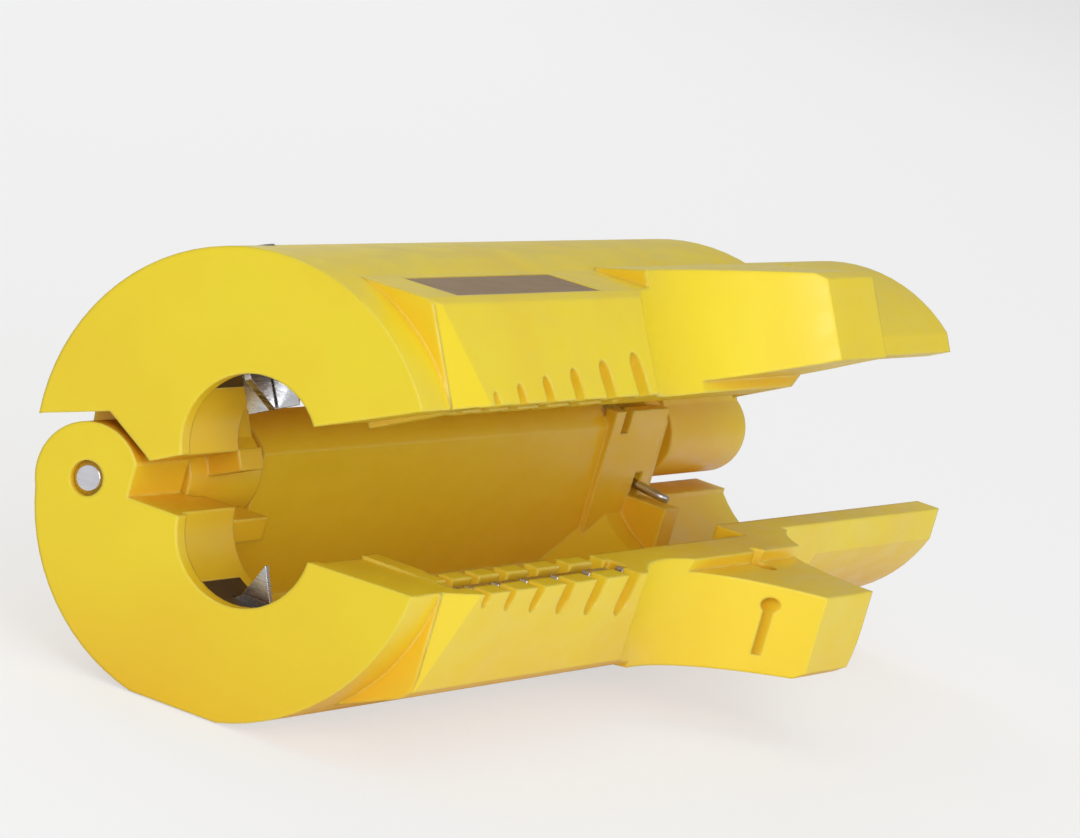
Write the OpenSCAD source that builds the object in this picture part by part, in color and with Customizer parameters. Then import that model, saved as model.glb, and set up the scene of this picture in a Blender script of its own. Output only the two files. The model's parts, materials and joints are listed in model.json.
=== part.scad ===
// Pocket cable stripper: two half shells on one long hinge pin, held open by a
// torsion spring. Small blades in the nose cut the jacket of a round cable, and
// the grip pads carry a row of graded notches with a steel strip for single wires.
//
// X runs from the nose to the tail, +Y is the hinge side and Z = 0 is the parting
// plane of the lower shell. The origin is the bore's centre on the nose face.
// The upper pieces are drawn closed and turned about the pin to the open stop.

/* [Overall] */
// Length from the nose face to the tail
tool_len = 125; // [120:1:132]
// Diameter of the barrel
barrel_d = 30; // [29.5:0.5:31]
// Wall of the two shells
wall = 2; // [1.6:0.1:2.2]
// Angle between the halves at the open stop
open_angle = 28; // [22:1:29]

/* [Nose] */
// Diameter of the cable bore
bore_d = 10.3; // [9.5:0.1:10.5]
// Length of the solid nose
nose_len = 11; // [10.8:0.1:12]

/* [Hinge] */
// Distance from the bore axis to the pin axis
hinge_y = 12.65; // [12.4:0.05:12.9]
// Diameter of the hinge pin
pin_d = 2.5; // [2.2:0.1:2.8]
// Diameter of the lugs on the lower shell
lug_d = 8; // [7.8:0.1:8.2]
// Length of the front lug
front_lug_len = 9; // [8:0.5:9.5]
// Length of the front knuckle of the upper shell
front_knuckle_len = 12.6; // [10:0.2:14]
// Length of the rear knuckle of the upper shell
rear_knuckle_len = 17.8; // [15:0.2:19]
// Gap between neighbouring knuckles
knuckle_gap = 0.4; // [0.3:0.1:0.8]

/* [Grip pad] */
// Distance from the bore axis to the face of the pad
pad_out = 14.6; // [14.4:0.1:15.4]
// Height of the pad's face on each shell
pad_h = 7.6; // [7:0.1:8]

/* [Neck and wing] */
// Distance from the nose to the narrowest point of the neck
neck_x = 51; // [50:0.2:52]
// Distance from the bore axis to the narrowest point of the neck
neck_out = 12.6; // [12.4:0.1:13]
// Radius of the scallop that forms the neck
neck_r = 17.4; // [16:0.2:19]
// Distance from the nose to the rear end of the wing's tip
wing_end = 76.6; // [75:0.2:78]
// Radius of the scallop behind the wing
wing_back_r = 11.2; // [10:0.2:12]
// Distance from the bore axis to the tip of the wing
wing_out = 21.2; // [20:0.1:22]
// Height of the wing's face on each shell
wing_h = 7.4; // [7:0.1:7.8]
// Drop of the wing's inner face behind the parting plane
wing_drop = 1; // [0.6:0.1:1.4]
// Distance from the bore axis to the side of the tail
tail_out = 9.6; // [9.2:0.1:9.8]
// Diameter of the lower shell at the end of the tail
tail_d = 23.8; // [23.4:0.1:25]
// Diameter of the upper shell at the end of the tail
upper_tail_d = 25.8; // [25:0.1:26.4]
// Distance from the nose to the start of the tail's taper
taper_x = 85; // [83:1:88]
// Length of the tail's taper
taper_len = 11; // [8:1:14]
// Height of the upper tail above the parting plane
tail_lift = 2.4; // [1.5:0.1:3]

/* [Wire notches] */
// Number of notches
notch_count = 6; // [4:1:6]
// Distance from the nose to the first notch
notch_start = 11.2; // [10.8:0.1:11.6]
// Distance between the first two notches
notch_pitch = 4.9; // [4.6:0.1:5]
// Growth of that distance from one notch to the next
notch_growth = 0.45; // [0.35:0.05:0.48]
// Width of the smallest notch
notch_w = 1.3; // [1:0.1:1.5]
// Growth in width from one notch to the next
notch_widen = 0.24; // [0.1:0.02:0.28]
// Thickness of the steel notch strips
strip_t = 0.6; // [0.4:0.1:0.8]

/* [Blades] */
// Distance from the bore axis to the cutting edges
edge_z = 2.5; // [2:0.1:3.5]
// Thickness of the blades
blade_t = 0.5; // [0.3:0.05:0.6]
// Width of the jacket blade
blade_w = 4; // [3:0.1:4.4]

/* [Spring] */
// Diameter of the spring wire
wire_d = 0.8; // [0.6:0.1:0.9]
// Number of turns
turns = 9; // [6:1:10]

/* [Label field] */
// Length of the bare label plate
label_len = 28; // [20:1:30]
// Width of the bare label plate
label_w = 4.2; // [4:0.1:5]

/* [Hidden] */
$fn = 96;

eps = 0.01;
barrel_r = barrel_d / 2;
bore_r = bore_d / 2;
lug_r = lug_d / 2;
knuckle_r = lug_r - 0.2;
pin_r = pin_d / 2;
pin_clear = 0.05;

// The barrel's circles sit a little off the parting plane, so the closed nose is
// lower than it is wide. The lower one touches the lug's circle from inside.
lower_lift = 1.4;
upper_drop = 0.7;
lug_proud = 0.15;
barrel_y = hinge_y - sqrt(pow(barrel_r - lug_r + lug_proud, 2) - pow(lower_lift, 2));
foot_z = lower_lift - barrel_r + 0.4;
parting_gap = 0.1;

// Places along the hinge.
front_knuckle_x = front_lug_len + knuckle_gap;
mid_lug_x = front_knuckle_x + front_knuckle_len + knuckle_gap;
rear_knuckle_x = tool_len - rear_knuckle_len;
mid_lug_end = rear_knuckle_x - 3 * knuckle_gap;

lug_side = 3.4;
hinge_wall_y = hinge_y - lug_side;

// Spring bay near the rear end of the middle lug.
bay_len = 10;
bay_x = mid_lug_end - bay_len - 3;
coil_r = 2.4;
coil_out = coil_r + wire_d / 2;
coil_pitch = wire_d * 0.98;
coil_len = (turns - 1) * coil_pitch;
coil_x = bay_x + (bay_len - coil_len) / 2;
upper_leg_angle = 167;
lower_leg_angle = 188;
leg_len = 7.4;

// Inner limits of the hollow.
row_y = -10.2;
slot_out = 1.5;
slot_w = 1.6;
slot_depth = 6.3;

wing_cavity_end = wing_end - 1;

facet_x0 = 5.2;
facet_x1 = 9.8;

// Blade pocket in the solid nose.
lip_len = 1.5;
seat_r = bore_r + 0.5;
carrier_x = 1.6;
carrier_len = 7.8;
carrier_w = 6.4;
carrier_z = 11.4;
fit = 0.04;
screw_x = carrier_x + carrier_len / 2;
screw_r = 1;
screw_head_r = 2;
screw_head_h = 1.2;
blade_x = 5.5;

body_yellow = [0.93, 0.83, 0.1];
steel = [0.78, 0.79, 0.82];
dark = [0.3, 0.2, 0.13];

function notch_x(i) = notch_start + i * notch_pitch + notch_growth * i * (i - 1) / 2;
function notch_width(i) = notch_w + i * notch_widen;
function notch_depth(i) = 1.1 + 0.46 * i;

// Runs a profile drawn in Y and Z along X.
module along(x0, x1) {
    translate([x0, 0, 0]) rotate([90, 0, 90])
        linear_extrude(height = x1 - x0) children();
}

// Runs a profile drawn in X and Z along Y, from y0 to y1.
module across(y0, y1) {
    translate([0, y1, 0]) rotate([90, 0, 0])
        linear_extrude(height = y1 - y0) children();
}

// Turns an upper piece from its closed place to the open stop.
module opened() {
    translate([0, hinge_y, 0]) rotate([-open_angle, 0, 0])
        translate([0, -hinge_y, 0]) children();
}

// A round bar on the hinge axis.
module on_hinge(x0, x1, r) {
    translate([x0, hinge_y, 0]) rotate([0, 90, 0]) cylinder(h = x1 - x0, r = r);
}

// --- Lower shell ---------------------------------------------------------

module lower_half_2d(r) {
    intersection() {
        translate([barrel_y, lower_lift]) circle(r);
        translate([-40, -40]) square([80, 40]);
    }
}

// Round form that the tail keeps inside: a cone from the barrel, then a cylinder.
module tail_form(side, inset) {
    end_r = (side < 0 ? tail_d : upper_tail_d) / 2;
    steep = (barrel_r - end_r) / taper_len;
    translate([0, barrel_y, centre_z(side)]) rotate([90, 0, 90]) rotate_extrude()
        polygon([[0, -1], [barrel_r + 4, -1], [barrel_r + 4, taper_x - (4 + inset) / steep],
            [end_r - inset, taper_x + taper_len], [end_r - inset, tool_len + 1],
            [0, tool_len + 1]]);
}

function centre_z(side) = side < 0 ? lower_lift : -upper_drop;
function side_out(side) = side < 0 ? tail_out : tail_out + 0.8;

// Lug with a straight inner side, and the wall that carries it.
module lug_2d() {
    intersection() {
        translate([hinge_y, 0]) circle(lug_r);
        translate([hinge_wall_y, -lug_r]) square([2 * lug_r, 2 * lug_r]);
    }
}

module hinge_wall_2d() {
    intersection() {
        lower_half_2d(barrel_r);
        translate([hinge_wall_y, -barrel_r]) square([barrel_r, barrel_r]);
    }
}

module lower_pad_2d() {
    polygon([[-8, 0], [-pad_out, 0], [-pad_out + 1.2, -pad_h + 0.2],
        [-pad_out + 2, -pad_h - 0.5], [-7.4, -10.4], [-5, -8]]);
}

module lower_wing_2d() {
    polygon([[-8, -wing_drop], [-wing_out, -wing_drop], [-wing_out, -wing_h + 0.2],
        [-wing_out + 0.8, -wing_h - 0.4], [-9.5, -8.9], [-6, -6]]);
}

// Hollow of one half: the barrel's inner shape, limited on the opening side.
module hollow(side) {
    intersection() {
        union() {
            along(nose_len, wing_cavity_end) hollow_2d(side, row_y);
            along(wing_cavity_end - eps, tool_len + 0.5) hollow_2d(side, wall - side_out(side));
        }
        tail_form(side, wall);
    }
}

module hollow_2d(side, y0) {
    intersection() {
        translate([barrel_y, centre_z(side)]) circle(barrel_r - wall);
        translate([y0, -40]) square([40, 80]);
    }
}

// Notches across both walls of the grip pad.
module notches(side) {
    for (i = [0 : notch_count - 1]) {
        w = notch_width(i);
        d = notch_depth(i);
        across(-pad_out - 1, row_y + 0.6) {
            translate([notch_x(i) - w / 2, side < 0 ? w / 2 - d : -1])
                square([w, d - w / 2 + 1]);
            translate([notch_x(i), side * (d - w / 2)]) circle(w / 2);
        }
    }
}

// Slot between the two walls of the pad, which takes the notch strip.
module strip_slot(side) {
    z0 = side < 0 ? -slot_depth : -1;
    translate([notch_start - 2.6, -pad_out + slot_out, z0])
        cube([strip_len() + 0.6, slot_w, slot_depth + 1]);
}

function strip_len() = notch_x(notch_count - 1) - notch_start + 4.2;

// Two pegs that hold the strip in its slot.
module strip_pegs(side, r) {
    for (x = [peg_x(0), peg_x(notch_count - 2)])
        translate([x, -pad_out + slot_out + slot_w + eps, side * 4.4])
            rotate([90, 0, 0]) cylinder(h = slot_w + 2 * eps, r = r);
}

function peg_x(i) = (notch_x(i) + notch_x(i + 1)) / 2;

// Front facet and finger scallop, cut from pad and wing.
module grip_cuts(side) {
    out = side_out(side);
    translate([0, 0, -20]) linear_extrude(height = 40) {
        polygon([[4, -barrel_r], [facet_x0, barrel_y - barrel_r + 0.1], [facet_x1, -pad_out],
            [facet_x1 + 0.6, -pad_out - 2], [4, -pad_out - 2]]);
        translate([neck_x, -neck_out - neck_r]) circle(neck_r);
        translate([wing_end + wing_back_r, -out - wing_back_r - 0.3]) circle(wing_back_r);
        translate([wing_end + wing_back_r - 2.5, -out - 40]) square([tool_len, 40]);
    }
}

// Slight bevel of the nose's parting faces beside the bore.
module mouth_bevel(side) {
    near = side < 0 ? -0.28 : 0.58;
    far = side < 0 ? 0 : parting_gap;
    along(-1, notch_start - 2.8) polygon([[-bore_r + 0.5, near], [-barrel_r, far],
        [-barrel_r, -side], [-bore_r + 0.5, -side]]);
}

// Pocket for the blade carrier with the hole for its screw.
module carrier_pocket(side) {
    z = side < 0 ? -carrier_z - fit : 0;
    translate([carrier_x - fit, -carrier_w / 2 - fit, z])
        cube([carrier_len + 2 * fit, carrier_w + 2 * fit, carrier_z + fit]);
    seat = side < 0 ? foot_z : barrel_r - upper_drop;
    translate([screw_x, 0, 0]) {
        translate([0, 0, side < 0 ? seat - 1 : 0]) cylinder(h = 20, r = screw_r + 0.1);
        translate([0, 0, side < 0 ? seat - 3 : seat - screw_head_h - 0.3])
            cylinder(h = side < 0 ? screw_head_h + 3.3 : 4, r = screw_head_r + 0.1);
    }
}

module lower_body() {
    difference() {
        union() {
            intersection() {
                along(0, tool_len) lower_half_2d(barrel_r);
                tail_form(-1, 0);
            }
            along(5, neck_x) lower_pad_2d();
            intersection() {
                along(neck_x - 1, wing_end + wing_back_r + 1) lower_wing_2d();
                across(-wing_out - 1, 0) lower_wing_side_2d();
            }
        }
        grip_cuts(-1);
    }
}

// Side view of the lower wing with its rounded rear corner.
module lower_wing_side_2d() {
    r = 5.5;
    low = -wing_h - 2.2;
    translate([0, -barrel_r]) square([wing_end - r, barrel_r]);
    translate([0, low + r]) square([tool_len, -low - r]);
    translate([wing_end - r, low + r]) circle(r);
}

module lower_shell() color(body_yellow) difference() {
    union() {
        difference() {
            lower_body();
            hollow(-1);
        }
        along(0, tool_len) lug_2d();
        intersection() {
            along(0, tool_len) hinge_wall_2d();
            tail_form(-1, 0);
        }
        intersection() {
            lower_ribs();
            tail_form(-1, wall / 2);
        }
    }
    translate([-1, -40, foot_z - 20]) cube([tool_len + 2, 80, 20]);
    mouth_bevel(-1);
    nose_bore();
    // hinge-side face lies a little behind the parting plane
    translate([-1, 0, -0.3]) cube([nose_len + 1.5, hinge_wall_y, 1]);
    hinge_relief(front_lug_len, mid_lug_x);
    hinge_relief(mid_lug_end, tool_len + 1);
    on_hinge(-1, tool_len + 1, pin_r + 0.02);
    spring_bay();
    carrier_pocket(-1);
    difference() {
        strip_slot(-1);
        strip_pegs(-1, 0.8);
    }
    notches(-1);
    wing_details();
}

// Bore of the nose: a lip that holds the cable, and a wider length for the blades.
module nose_bore() {
    along(-1, lip_len + eps) circle(bore_r);
    along(lip_len, nose_len + eps) circle(seat_r);
}

module lower_ribs() {
    // inner wall of the spring bay
    translate([bay_x - 1, hinge_wall_y - 0.5, -barrel_r]) cube([bay_len + 2, 1, barrel_r + 3.5]);
    // shelf for the lower leg of the spring
    translate([lower_leg_x() - 1.6, hinge_wall_y - 4.2, -barrel_r])
        cube([3.2, 4, barrel_r + leg_shelf_z()]);
    // stop for the upper shell
    translate([nose_len - 1, hinge_wall_y - 3.4, -3.2]) cube([8, 2.4, 1.8]);
}

// Room for a knuckle of the upper shell.
module hinge_relief(x0, x1) {
    on_hinge(x0, x1, lug_r + 0.45);
    translate([x0, hinge_wall_y - 0.9, -lug_r - 0.45]) cube([x1 - x0, 20, 20]);
}

function lower_leg_x() = coil_x + coil_len;
function leg_shelf_z() = -coil_r - leg_len * sin(lower_leg_angle - 180) - wire_d / 2 - 0.08;

// Bay for the spring, open towards the hinge side, with a way through for each leg.
module spring_bay() {
    on_hinge(bay_x, bay_x + bay_len, coil_out + 0.3);
    translate([bay_x, hinge_y - coil_out - 0.1, -coil_out - 0.6]) cube([bay_len, 20, 20]);
    translate([lower_leg_x() - 0.9, hinge_wall_y - 1.5, -4.4]) cube([1.8, 3.5, 2.4]);
    translate([coil_x - 0.9, hinge_wall_y - 1.5, 1.6]) cube([1.8, 3.5, 3]);
}

// Keyhole slot in the wing's front slope, and an eye through the wing's root.
module wing_details() {
    kx = neck_x + 12.4;
    across(-wing_out, -neck_out - 3.6) {
        translate([kx - 0.3, -wing_h + 0.8]) square([0.6, wing_h - 3.2]);
        translate([kx, -2.6]) circle(0.6);
    }
    translate([kx + 7, -neck_out - 1.2, -20]) cylinder(h = 40, r = 1.2);
}

// --- Upper shell, drawn closed -------------------------------------------

// The lower edge of the upper shell rises behind the wing.
module upper_edge_2d() {
    polygon([[-1, parting_gap], [wing_cavity_end, parting_gap],
        [wing_end + 6, tail_lift], [tool_len + 1, tail_lift], [tool_len + 1, 40], [-1, 40]]);
}

// Room for the lower shell's lugs while the halves turn.
module lug_relief_2d() {
    polygon([[hinge_y - 7.8, -1], [hinge_y - 7.8, 0.35], [hinge_y - lug_r - 1, 0.35],
        [hinge_y - lug_r - 0.75, 0.85], [hinge_y - 2.65, lug_r + 0.3],
        [hinge_y + 2.6, lug_r + 1.1], [hinge_y + 8, lug_r + 1.4], [hinge_y + 8, -1]]);
}

module upper_pad_2d() {
    polygon([[-8, parting_gap], [-pad_out, parting_gap], [-pad_out + 1, pad_h],
        [-pad_out + 1.6, pad_h + 0.6], [-7.4, 11], [-5, 8]]);
}

module upper_wing_2d() {
    polygon([[-8, wing_drop], [-wing_out, wing_drop], [-wing_out, wing_h],
        [-wing_out + 0.8, wing_h + 0.6], [-8.6, 10.7], [-6, 6]]);
}

module upper_body() {
    difference() {
        intersection() {
            union() {
                intersection() {
                    along(0, tool_len) translate([barrel_y, -upper_drop]) circle(barrel_r);
                    tail_form(1, 0);
                }
                along(5, neck_x) upper_pad_2d();
                along(neck_x - 1, wing_end + wing_back_r + 1) upper_wing_2d();
            }
            across(-40, 40) upper_edge_2d();
        }
        along(-1, tool_len + 1) lug_relief_2d();
        grip_cuts(1);
    }
}

// Knuckle with the arm that joins it to the shell.
module knuckle(x0, x1) {
    on_hinge(x0, x1, knuckle_r);
    along(x0, x1) intersection() {
        translate([barrel_y, -upper_drop]) circle(barrel_r);
        polygon([[hinge_y - lug_side, 0], [hinge_y, 0], [hinge_y + 1.6, 3],
            [hinge_y + 5, 2.6], [hinge_y + 5, 8], [hinge_y - lug_side, 8]]);
    }
}

module upper_shell() color(body_yellow) opened() difference() {
    union() {
        difference() {
            upper_body();
            hollow(1);
        }
        knuckle(front_knuckle_x, front_knuckle_x + front_knuckle_len);
        knuckle(rear_knuckle_x, tool_len);
        // tab that meets the stop of the lower shell
        stop_tab();
        // rib that takes the upper leg of the spring
        intersection() {
            translate([coil_x - 1.2, hinge_y - 7.6, leg_rib_z()]) cube([2.4, 3, barrel_r]);
            tail_form(1, wall / 2);
        }
    }
    mouth_bevel(1);
    nose_bore();
    on_hinge(-1, tool_len + 1, pin_r + pin_clear);
    // recess for the clip on the pin
    on_hinge(tool_len - 1.8, tool_len + 1, 2.8);
    carrier_pocket(1);
    difference() {
        strip_slot(1);
        strip_pegs(1, 0.8);
    }
    notches(1);
    label_block(0.5, -1, 0.1);
}

function leg_rib_z() = coil_r * cos(180 - upper_leg_angle)
    + leg_len * sin(180 - upper_leg_angle) + wire_d / 2 + 0.08;

module stop_tab() {
    reach = 6.4;
    translate([0, hinge_y, 0]) rotate([-(180 - 154) + open_angle, 0, 0])
        translate([front_knuckle_x + 3, -reach, -0.8]) cube([4, reach - pin_r - 0.6, 1.6]);
}

// Block on the sloping shoulder above the grip pad, between two depths.
module label_block(low, high, grow) {
    slope = atan2(11 - pad_h - 0.6, pad_out - 1.6 - 7.4);
    translate([11.4 - grow, -pad_out + 1.6, pad_h + 0.6]) rotate([slope, 0, 0])
        translate([0, 0.3 - grow, -low])
            cube([label_len + 2 * grow, label_w + 2 * grow, low - high]);
}

// --- Hinge ---------------------------------------------------------------

module hinge_pin() color(steel) translate([0, hinge_y, 0]) rotate([90, 0, 90])
    rotate_extrude() polygon([[0, 0.3], [pin_r - 0.35, 0.3], [pin_r, 0.65],
        [pin_r, tool_len - 0.8], [pin_r - 0.35, tool_len - 0.45], [0, tool_len - 0.45]]);

module pin_clip() color(steel) difference() {
    on_hinge(tool_len - 1.6, tool_len - 1.15, 2.5);
    on_hinge(tool_len - 2, tool_len, pin_r + 0.01);
}

module torsion_spring() color(steel) {
    translate([coil_x, hinge_y, 0]) rotate([90, 0, 90]) rotate_extrude()
        for (i = [0 : turns - 1])
            translate([coil_r, i * coil_pitch]) circle(wire_d / 2, $fn = 24);
    spring_leg(lower_leg_x(), lower_leg_angle, 1);
    spring_leg(coil_x, upper_leg_angle - open_angle, -1);
}

// Straight leg that leaves the coil at a tangent, in the given direction.
module spring_leg(x, angle, turn) {
    translate([x, hinge_y, 0]) rotate([angle, 0, 0])
        translate([0, 0, turn * coil_r]) rotate([-90, 0, 0])
            cylinder(h = leg_len, r = wire_d / 2 - 0.03, $fn = 24);
}

module spring_sleeve() color(dark) difference() {
    on_hinge(bay_x + 0.2, bay_x + bay_len - 0.2, coil_r - wire_d / 2 - 0.1);
    on_hinge(bay_x, bay_x + bay_len, pin_r + 0.03);
}

// --- Blades --------------------------------------------------------------

module blade_carrier(side) {
    difference() {
        translate([carrier_x, -carrier_w / 2, side < 0 ? -carrier_z : 0])
            cube([carrier_len, carrier_w, carrier_z]);
        along(0, nose_len) circle(seat_r);
        translate([screw_x, 0, side < 0 ? -carrier_z - 1 : 7.6])
            cylinder(h = carrier_z - 7.6 + 1, r = screw_r + 0.02);
        children();
    }
}

module lower_blade_carrier() color(dark) blade_carrier(-1) {
    translate([blade_x, -blade_w / 2, -7.6]) cube([blade_t, blade_w, 7.6]);
}

module upper_blade_carrier() color(dark) opened() blade_carrier(1) {
    union() {
        translate([blade_x, -blade_w / 2, 0]) cube([blade_t, blade_w, 7.6]);
        translate([blade_x - 3.6, -blade_t / 2, 0]) cube([3.6 - 0.1, blade_t, 7.6]);
    }
}

// Pointed blade across the bore.
module lower_point_blade() color(steel) along(blade_x, blade_x + blade_t)
    polygon([[0, -edge_z], [1.2, -bore_r], [blade_w / 2, -bore_r - 0.6], [blade_w / 2, -7.6],
        [-blade_w / 2, -7.6], [-blade_w / 2, -bore_r - 0.6], [-1.2, -bore_r]]);

// Straight blade across the bore, ground on one side.
module upper_jacket_blade() color(steel) opened() across(-blade_w / 2, blade_w / 2)
    polygon([[blade_x, edge_z], [blade_x + blade_t, edge_z + 1], [blade_x + blade_t, 7.6],
        [blade_x, 7.6]]);

// Pointed blade along the bore, for a slit down the jacket.
module upper_slit_blade() color(steel) opened() across(-blade_t / 2, blade_t / 2)
    polygon([[blade_x - 0.3, edge_z], [blade_x - 0.1, 7.6], [blade_x - 3.6, 7.6],
        [blade_x - 3.6, bore_r - 0.4]]);

module carrier_screw(side) {
    seat = side < 0 ? foot_z : barrel_r - upper_drop;
    difference() {
        union() {
            translate([screw_x, 0, side < 0 ? seat + 0.3 : seat - screw_head_h - 0.3])
                cylinder(h = screw_head_h, r = screw_head_r);
            translate([screw_x, 0, side < 0 ? seat + 0.5 : 7.8])
                cylinder(h = abs(seat) - 7.8 - 0.5, r = screw_r);
        }
        for (a = [0, 90])
            translate([screw_x, 0, side < 0 ? seat : seat - 0.9]) rotate([0, 0, a])
                translate([-1.2, -0.25, 0]) cube([2.4, 0.5, side < 0 ? 0.9 : 2]);
    }
}

module lower_carrier_screw() color(steel) carrier_screw(-1);
module upper_carrier_screw() color(steel) opened() carrier_screw(1);

// --- Notch strips --------------------------------------------------------

module notch_strip(side) {
    top = side < 0 ? 0.1 : parting_gap + 0.1;
    y0 = -pad_out + slot_out;
    difference() {
        translate([notch_start - 2.3, y0, side < 0 ? -slot_depth : top])
            cube([strip_len(), strip_t, slot_depth - top]);
        for (i = [0 : notch_count - 1])
            across(y0 - 1, y0 + 2)
                translate([notch_x(i), 0]) circle(0.3 + 0.2 * i);
        strip_pegs(side, 0.85);
    }
}

module lower_notch_strip() color(steel) notch_strip(-1);
module upper_notch_strip() color(steel) opened() notch_strip(1);

// --- Label ---------------------------------------------------------------

module label_plate() color(dark) opened() label_block(0.5, 0.05, 0);

lower_shell();
upper_shell();
hinge_pin();
pin_clip();
torsion_spring();
spring_sleeve();
lower_blade_carrier();
upper_blade_carrier();
lower_point_blade();
upper_jacket_blade();
upper_slit_blade();
lower_carrier_screw();
upper_carrier_screw();
lower_notch_strip();
upper_notch_strip();
label_plate();
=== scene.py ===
import bmesh
import bpy
import json
import math
from mathutils import Matrix, Vector


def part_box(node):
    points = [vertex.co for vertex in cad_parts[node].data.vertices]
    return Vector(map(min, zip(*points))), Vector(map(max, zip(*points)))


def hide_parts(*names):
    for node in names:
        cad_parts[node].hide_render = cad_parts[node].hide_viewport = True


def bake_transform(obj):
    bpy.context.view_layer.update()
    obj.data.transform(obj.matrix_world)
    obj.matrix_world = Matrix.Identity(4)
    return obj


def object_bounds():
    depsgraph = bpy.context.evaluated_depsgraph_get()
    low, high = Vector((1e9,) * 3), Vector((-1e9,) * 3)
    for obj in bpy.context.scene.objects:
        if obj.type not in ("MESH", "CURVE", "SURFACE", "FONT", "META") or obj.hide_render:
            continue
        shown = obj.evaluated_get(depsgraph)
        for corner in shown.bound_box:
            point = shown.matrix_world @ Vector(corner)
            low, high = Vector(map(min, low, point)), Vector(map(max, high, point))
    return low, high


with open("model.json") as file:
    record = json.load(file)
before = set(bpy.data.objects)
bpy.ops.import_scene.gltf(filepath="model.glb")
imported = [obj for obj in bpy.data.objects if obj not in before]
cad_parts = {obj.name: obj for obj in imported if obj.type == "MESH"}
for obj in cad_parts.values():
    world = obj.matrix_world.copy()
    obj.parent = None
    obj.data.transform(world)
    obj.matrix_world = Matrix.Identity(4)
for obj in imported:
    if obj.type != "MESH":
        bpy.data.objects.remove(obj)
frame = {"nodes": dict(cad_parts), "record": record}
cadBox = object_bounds()
nodes = frame["nodes"]
mm = 0.001
print("frame loaded:", len(nodes), "nodes")


# what each surface looks like; colours are linear
yellowPlastic = {
    "colour": (0.88, 0.70, 0.022),
    "shadeAndDriftColour": (0.80, 0.40, 0.016),   # painted shade for corners and recesses, where light reaches only after many bounces; also the colour the slow patches drift towards
    "edgeHighlightColour": (0.93, 0.80, 0.16),    # painted highlight along the edges
    "roughness": 0.36,
    "grainSize": 0.22 * mm,
    "grainDepth": 0.012 * mm,
    "edgeRadius": 0.35 * mm,
    "bounceDistance": 20 * mm,
}
darkPlastic = {
    "colour": (0.052, 0.030, 0.016),
    "shadeAndDriftColour": (0.018, 0.010, 0.006),
    "edgeHighlightColour": (0.12, 0.08, 0.05),
    "roughness": 0.5,
    "grainSize": 0.3 * mm,
    "grainDepth": 0.01 * mm,
    "edgeRadius": 0.12 * mm,
    "bounceDistance": 4 * mm,
}
# painted reflection: dark brown for the shaded hand mirrored in the flat top of the pad
handReflectionPlastic = {
    "colour": (0.270, 0.155, 0.048),
    "shadeAndDriftColour": (0.16, 0.085, 0.025),
    "edgeHighlightColour": (0.36, 0.24, 0.10),
    "roughness": 0.42,
    "grainSize": 0.4 * mm,
    "grainDepth": 0.008 * mm,
    "edgeRadius": 0.1 * mm,
    "bounceDistance": 2 * mm,
}
# what all the mouldings share
plasticFinish = {
    "patchSize": 11 * mm,        # slow drifts of the colour
    "patchTint": 0.22,
    "paintedCornerShade": 0.75,          # how strongly shade is painted into corners
    "cornerOpen": (0.25, 0.85),  # how shut in a corner is, from fully to not at all
    "highlightBreakSize": 2.5 * mm,         # breaks in the painted highlight along the edges
    "edgeHighlightRange": (0.15, 0.9),
    "scuffSize": 1.6 * mm,
    "scuffStretch": (0.35, 1.0, 1.0),
    "roughnessSpread": (-0.07, 0.12),
    "grainStrength": 0.35,
    "sinkSize": 6 * mm,          # wide shallow sinks left by the mould
    "sinkDepth": 0.06 * mm,
    "sinkStrength": 0.25,
}

# scratch is how many marks fit in a metre along X, Y and Z
pinSteel = {
    "colour": (0.82, 0.82, 0.88),
    "roughness": 0.16,
    "scratch": (40, 40, 4000),
    "depth": 0.002 * mm,
}
springSteel = {
    "colour": (0.55, 0.55, 0.58),
    "roughness": 0.3,
    "scratch": (900, 900, 900),
    "depth": 0.002 * mm,
}
bladeSteel = {
    "colour": (0.72, 0.73, 0.76),
    "roughness": 0.22,
    "scratch": (200, 200, 6000),
    "depth": 0.002 * mm,
}
screwSteel = {
    "colour": (0.50, 0.50, 0.53),
    "roughness": 0.34,
    "scratch": (1500, 1500, 1500),
    "depth": 0.003 * mm,
}
# what all the metal pieces share
metalFinish = {
    "edgeRadius": 0.08 * mm,
    "edgeShine": 1.15,
    "edgeTint": 0.6,
    "stainSize": 3 * mm,
    "stainDullness": 0.72,
    "stainTint": 0.5,
    "roughnessSpread": (-0.06, 0.14),
    "scratchStrength": 0.4,
}


def newMaterial(name):
    material = bpy.data.materials.new(name)
    material.use_nodes = True
    tree = material.node_tree
    shader = tree.nodes["Principled BSDF"]
    return material, tree, shader


def addNode(tree, kind, **settings):
    node = tree.nodes.new(kind)
    for key, value in settings.items():
        setattr(node, key, value)
    return node


def noise(tree, coordinates, size, detail=3.0, stretch=None):
    # size is the length of one blotch in metres
    source = coordinates
    if stretch:
        mapping = addNode(tree, "ShaderNodeMapping")
        mapping.inputs["Scale"].default_value = stretch
        tree.links.new(source, mapping.inputs["Vector"])
        source = mapping.outputs["Vector"]
    texture = addNode(tree, "ShaderNodeTexNoise")
    texture.inputs["Scale"].default_value = 1.0 / size
    texture.inputs["Detail"].default_value = detail
    tree.links.new(source, texture.inputs["Vector"])
    return texture.outputs["Fac"]


def spread(tree, value, low, high, fromLow=0.3, fromHigh=0.7):
    # noise stays mostly between 0.3 and 0.7
    node = addNode(tree, "ShaderNodeMapRange")
    node.inputs["From Min"].default_value = fromLow
    node.inputs["From Max"].default_value = fromHigh
    node.inputs["To Min"].default_value = low
    node.inputs["To Max"].default_value = high
    tree.links.new(value, node.inputs["Value"])
    return node.outputs["Result"]


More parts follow.
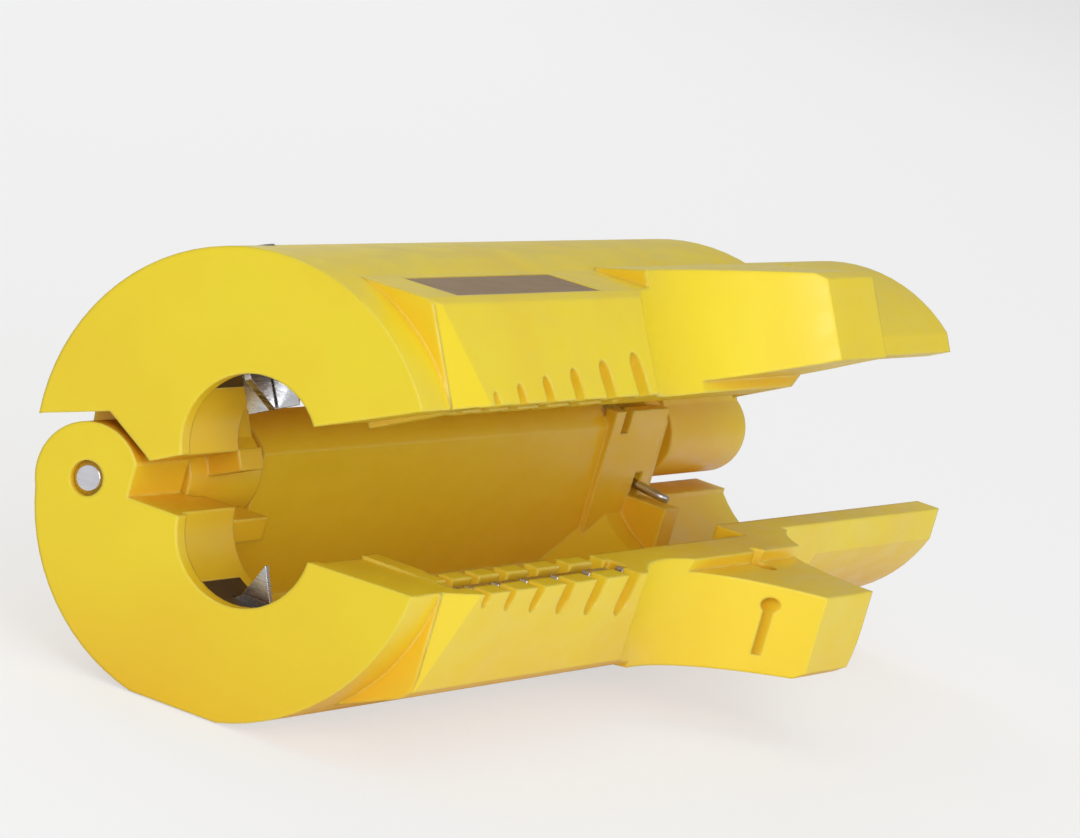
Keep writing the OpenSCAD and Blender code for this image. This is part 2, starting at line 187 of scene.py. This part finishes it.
def mixColour(tree, factor, first, second):
    node = addNode(tree, "ShaderNodeMix", data_type="RGBA")
    tree.links.new(factor, node.inputs["Factor"])
    for socket, value in ((node.inputs[6], first), (node.inputs[7], second)):   # the colour sockets
        if isinstance(value, tuple):
            socket.default_value = (*value, 1.0)
        else:
            tree.links.new(value, socket)
    return node.outputs[2]


def multiply(tree, first, second):
    node = addNode(tree, "ShaderNodeMath", operation="MULTIPLY")
    for socket, value in zip(node.inputs, (first, second)):
        if isinstance(value, float):
            socket.default_value = value
        else:
            tree.links.new(value, socket)
    return node.outputs["Value"]


def edgeMask(tree, radius):
    # 1 along sharp edges, 0 on open faces, from how far the rounded normal leans
    bevel = addNode(tree, "ShaderNodeBevel", samples=6)
    bevel.inputs["Radius"].default_value = radius
    geometry = addNode(tree, "ShaderNodeNewGeometry")
    dot = addNode(tree, "ShaderNodeVectorMath", operation="DOT_PRODUCT")
    tree.links.new(bevel.outputs["Normal"], dot.inputs[0])
    tree.links.new(geometry.outputs["Normal"], dot.inputs[1])
    return bevel.outputs["Normal"], spread(tree, dot.outputs["Value"], 1.0, 0.0, 0.80, 0.985)


def addBump(tree, height, normal, strength, depth):
    bump = addNode(tree, "ShaderNodeBump")
    bump.inputs["Strength"].default_value = strength
    bump.inputs["Distance"].default_value = depth
    tree.links.new(height, bump.inputs["Height"])
    tree.links.new(normal, bump.inputs["Normal"])
    return bump.outputs["Normal"]


def roughen(tree, shader, marks, base, finish):
    least, most = finish["roughnessSpread"]
    tree.links.new(spread(tree, marks, base + least, base + most), shader.inputs["Roughness"])


def plastic(name, look, finish=plasticFinish):
    material, tree, shader = newMaterial(name)
    place = addNode(tree, "ShaderNodeTexCoord").outputs["Object"]
    softNormal, edge = edgeMask(tree, look["edgeRadius"])
    # painted shade: ambient occlusion darkens corners and recesses towards the shade colour
    corner = addNode(tree, "ShaderNodeAmbientOcclusion", samples=8)
    corner.inputs["Distance"].default_value = look["bounceDistance"]
    paintedShadeMask = spread(tree, corner.outputs["AO"], 1.0, 0.0, *finish["cornerOpen"])
    patches = spread(tree, noise(tree, place, finish["patchSize"], 4.0), 0.0, finish["patchTint"])
    tone = mixColour(tree, patches, look["colour"], look["shadeAndDriftColour"])
    tone = mixColour(tree, multiply(tree, paintedShadeMask, finish["paintedCornerShade"]), tone, look["shadeAndDriftColour"])
    # painted highlight: lighter colour along the sharp edges, broken up by noise
    edgeHighlight = multiply(tree, edge, spread(tree, noise(tree, place, finish["highlightBreakSize"]), *finish["edgeHighlightRange"]))
    tone = mixColour(tree, edgeHighlight, tone, look["edgeHighlightColour"])
    tree.links.new(tone, shader.inputs["Base Color"])
    scuff = noise(tree, place, finish["scuffSize"], 5.0, finish["scuffStretch"])
    roughen(tree, shader, scuff, look["roughness"], finish)
    grain = noise(tree, place, look["grainSize"], 2.0)
    normal = addBump(tree, grain, softNormal, finish["grainStrength"], look["grainDepth"])
    sink = noise(tree, place, finish["sinkSize"], 1.0)
    normal = addBump(tree, sink, normal, finish["sinkStrength"], finish["sinkDepth"])
    tree.links.new(normal, shader.inputs["Normal"])
    return material


def metal(name, look, finish=metalFinish):
    material, tree, shader = newMaterial(name)
    place = addNode(tree, "ShaderNodeTexCoord").outputs["Object"]
    softNormal, edge = edgeMask(tree, finish["edgeRadius"])
    scratches = noise(tree, place, 1.0, 3.0, look["scratch"])
    stain = spread(tree, noise(tree, place, finish["stainSize"], 4.0), 0.0, finish["stainTint"])
    colour = look["colour"]
    dull = tuple(finish["stainDullness"] * c for c in colour)
    bright = tuple(min(1.0, finish["edgeShine"] * c) for c in colour)
    tone = mixColour(tree, stain, colour, dull)
    tone = mixColour(tree, multiply(tree, edge, finish["edgeTint"]), tone, bright)
    tree.links.new(tone, shader.inputs["Base Color"])
    roughen(tree, shader, scratches, look["roughness"], finish)
    shader.inputs["Metallic"].default_value = 1.0
    normal = addBump(tree, scratches, softNormal, finish["scratchStrength"], look["depth"])
    tree.links.new(normal, shader.inputs["Normal"])
    return material


def give(material, *names):
    for name in names:
        thing = nodes[name]
        for place in thing.material_slots:
            place.material = material
        if not thing.material_slots:
            thing.data.materials.append(material)


springMetal = metal("springSteel", springSteel)
bladeMetal = metal("bladeSteel", bladeSteel)
give(plastic("shellYellow", yellowPlastic), "lower_shell", "upper_shell")
give(plastic("darkPlastic", darkPlastic), "lower_blade_carrier", "upper_blade_carrier", "spring_sleeve")
# painted reflection of the shaded hand, given to the label plate
give(plastic("paintedHandReflection", handReflectionPlastic), "label_plate")
give(metal("pinSteel", pinSteel), "hinge_pin")
give(metal("screwSteel", screwSteel), "lower_carrier_screw", "upper_carrier_screw")
give(springMetal, "pin_clip", "torsion_spring")
give(bladeMetal, "lower_point_blade", "upper_jacket_blade", "upper_slit_blade")
give(bladeMetal, "lower_notch_strip", "upper_notch_strip")
print("materials done")


# the wound spring: lower leg, close turns round the pin, upper leg
springLook = {
    "wire": 0.4 * mm,            # radius of the wire
    "slack": 0.98,               # keeps neighbouring turns from touching
    "coil": 2.4 * mm,            # radius of the coil to the wire's centre
    "turns": 7,
    "lowerLeg": math.radians(188),
    "upperLeg": math.radians(139),
    "legLength": 7.4 * mm,
    "legSteps": 6,
    "stepsPerTurn": 40,
    "sides": 12,
    "endScale": 0.8,             # the cut ends are slightly rounded
}


def springPath(look):
    low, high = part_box("torsion_spring")
    axisY = frame["record"]["behaviour"]["joints"][0]["pos_m"][1]
    frontX, rearX = low[0] + look["wire"], high[0] - look["wire"]
    quarter, whole = math.pi / 2, 2 * math.pi
    first = look["lowerLeg"] + quarter - whole
    last = look["upperLeg"] - quarter + look["turns"] * whole
    count = int((last - first) / whole * look["stepsPerTurn"])

    def onCoil(share):
        angle = first + (last - first) * share
        x = rearX + (frontX - rearX) * share
        return Vector((x, axisY + look["coil"] * math.cos(angle), look["coil"] * math.sin(angle)))

    def straightLeg(root, angle):
        out = Vector((0, math.cos(angle), math.sin(angle))) * look["legLength"] / look["legSteps"]
        return [root + out * k for k in range(1, look["legSteps"] + 1)]

    turns = [onCoil(k / count) for k in range(count + 1)]
    lowerLeg = straightLeg(turns[0], look["lowerLeg"])
    upperLeg = straightLeg(turns[-1], look["upperLeg"])
    points = lowerLeg[::-1] + turns + upperLeg
    return points, Vector((frontX, axisY, 0)), Vector((rearX, axisY, 0))


def ringPlaces(points, endScale):
    # where each ring of the tube sits, turned no more than the wire itself turns
    last = len(points) - 1
    side = None
    places = []
    for k, point in enumerate(points):
        ahead = (points[min(k + 1, last)] - points[max(k - 1, 0)]).normalized()
        side = ahead.orthogonal() if side is None else side - ahead * side.dot(ahead)
        side.normalize()
        turn = Matrix((side, ahead.cross(side), ahead)).transposed().to_4x4()
        scale = Matrix.Scale(endScale if k in (0, last) else 1.0, 4)
        places.append(Matrix.Translation(point) @ turn @ scale)
    return places


def tube(name, points, radius, look):
    work = bmesh.new()
    bmesh.ops.create_circle(work, radius=radius, segments=look["sides"])
    places = ringPlaces(points, look["endScale"])
    bmesh.ops.transform(work, matrix=places[0], verts=work.verts[:])
    ring = work.edges[:]
    for before, after in zip(places, places[1:]):
        grown = bmesh.ops.extrude_edge_only(work, edges=ring)["geom"]
        ring = [part for part in grown if isinstance(part, bmesh.types.BMEdge)]
        corners = [part for part in grown if isinstance(part, bmesh.types.BMVert)]
        bmesh.ops.transform(work, matrix=after @ before.inverted(), verts=corners)
    bmesh.ops.holes_fill(work, edges=work.edges[:], sides=0)
    bmesh.ops.recalc_face_normals(work, faces=work.faces[:])
    for face in work.faces:
        face.smooth = len(face.verts) == 4
    mesh = bpy.data.meshes.new(name)
    work.to_mesh(mesh)
    work.free()
    thing = bpy.data.objects.new(name, mesh)
    bpy.context.scene.collection.objects.link(thing)
    return thing


path, coilFront, coilRear = springPath(springLook)
spring = tube("woundSpring", path, springLook["wire"] * springLook["slack"], springLook)
spring.data.materials.append(springMetal)
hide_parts("torsion_spring")
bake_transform(spring)
print("spring done")


# floor, light and camera
stageLook = {
    "floorColour": (0.93, 0.93, 0.93),
    "floorMottle": 0.99,
    "floorBlotch": 0.05,
    "floorReach": 3.0,
    "floorGap": 0.1 * mm,        # below the lowest point of the tool
    "floorRoughness": 0.9,
    "floorSpecular": 0.1,
    "floorGlow": 0.6,            # share of white that only the camera sees
    "worldColour": (1.0, 1.0, 1.0),
    "worldStrength": 0.34,
}
cameraLook = {
    "spot": (-0.4777, -0.1938, 0.0860),
    "ahead": (0.930, 0.341, -0.139),
    "up": (0.028, 0.311, 0.950),
    "lens": 250.0,
    "sensorWidth": 36.0,
    "nearest": 0.01,
    "furthest": 20.0,
}
lamps = {
    "frontKey": {"spot": (-0.60, -0.42, 0.30), "aim": (0.04, 0, 0), "size": 0.45, "watts": 3.4},
    "sideFill": {"spot": (-0.05, -0.75, 0.12), "aim": (0.05, 0, 0), "size": 0.5, "watts": 1.7},
    "topSoft": {"spot": (0.10, 0.10, 0.80), "aim": (0.06, 0, 0), "size": 0.8, "watts": 1.1},
    "rearSoft": {"spot": (0.55, 0.50, 0.40), "aim": (0.06, 0, 0), "size": 0.5, "watts": 1.2},
}


def lookAt(spot, aim):
    ahead = (Vector(aim) - Vector(spot)).normalized()
    return Matrix.Translation(spot) @ ahead.to_track_quat("-Z", "Y").to_matrix().to_4x4()


def addLamps():
    for name, look in lamps.items():
        data = bpy.data.lights.new(name, "AREA")
        data.size = look["size"]
        data.energy = look["watts"]
        thing = bpy.data.objects.new(name, data)
        thing.matrix_world = lookAt(look["spot"], look["aim"])
        bpy.context.scene.collection.objects.link(thing)


def floorMaterial():
    material, tree, shader = newMaterial("paleFloor")
    place = addNode(tree, "ShaderNodeTexCoord").outputs["Object"]
    colour = stageLook["floorColour"]
    mottled = tuple(stageLook["floorMottle"] * c for c in colour)
    tone = mixColour(tree, noise(tree, place, stageLook["floorBlotch"]), colour, mottled)
    tree.links.new(tone, shader.inputs["Base Color"])
    shader.inputs["Roughness"].default_value = stageLook["floorRoughness"]
    shader.inputs["Specular IOR Level"].default_value = stageLook["floorSpecular"]
    glow = addNode(tree, "ShaderNodeEmission")
    light = addNode(tree, "ShaderNodeLightPath")
    blend = addNode(tree, "ShaderNodeMixShader")
    share = multiply(tree, light.outputs["Is Camera Ray"], stageLook["floorGlow"])
    tree.links.new(share, blend.inputs["Fac"])
    tree.links.new(shader.outputs["BSDF"], blend.inputs[1])
    tree.links.new(glow.outputs["Emission"], blend.inputs[2])
    tree.links.new(blend.outputs["Shader"], tree.nodes["Material Output"].inputs["Surface"])
    return material


def addFloor():
    mesh = bpy.data.meshes.new("floor")
    work = bmesh.new()
    bmesh.ops.create_grid(work, x_segments=1, y_segments=1, size=stageLook["floorReach"])
    work.to_mesh(mesh)
    work.free()
    mesh.materials.append(floorMaterial())
    floor = bpy.data.objects.new("floor", mesh)
    floor.location = (0, 0, cadBox[0][2] - stageLook["floorGap"])
    bpy.context.scene.collection.objects.link(floor)


def addWorld():
    # the camera sees plain white, and the tool gets the world's own soft light
    world = bpy.data.worlds.new("studio")
    world.use_nodes = True
    tree = world.node_tree
    back = tree.nodes["Background"]
    back.inputs["Color"].default_value = (*stageLook["worldColour"], 1.0)
    back.inputs["Strength"].default_value = stageLook["worldStrength"]
    seen = addNode(tree, "ShaderNodeBackground")
    light = addNode(tree, "ShaderNodeLightPath")
    blend = addNode(tree, "ShaderNodeMixShader")
    tree.links.new(light.outputs["Is Camera Ray"], blend.inputs["Fac"])
    tree.links.new(back.outputs["Background"], blend.inputs[1])
    tree.links.new(seen.outputs["Background"], blend.inputs[2])
    tree.links.new(blend.outputs["Shader"], tree.nodes["World Output"].inputs["Surface"])
    bpy.context.scene.world = world


def addCamera(look):
    data = bpy.data.cameras.new("camera")
    data.sensor_width = look["sensorWidth"]
    data.lens = look["lens"]
    data.clip_start = look["nearest"]
    data.clip_end = look["furthest"]
    ahead = Vector(look["ahead"]).normalized()
    up = Vector(look["up"])
    up = (up - ahead * up.dot(ahead)).normalized()
    turn = Matrix((ahead.cross(up), up, -ahead)).transposed().to_4x4()
    camera = bpy.data.objects.new("camera", data)
    camera.matrix_world = Matrix.Translation(look["spot"]) @ turn
    bpy.context.scene.collection.objects.link(camera)
    bpy.context.scene.camera = camera


addLamps()
addFloor()
addWorld()
addCamera(cameraLook)
bpy.context.scene.view_settings.view_transform = "Standard"
print("stage done")
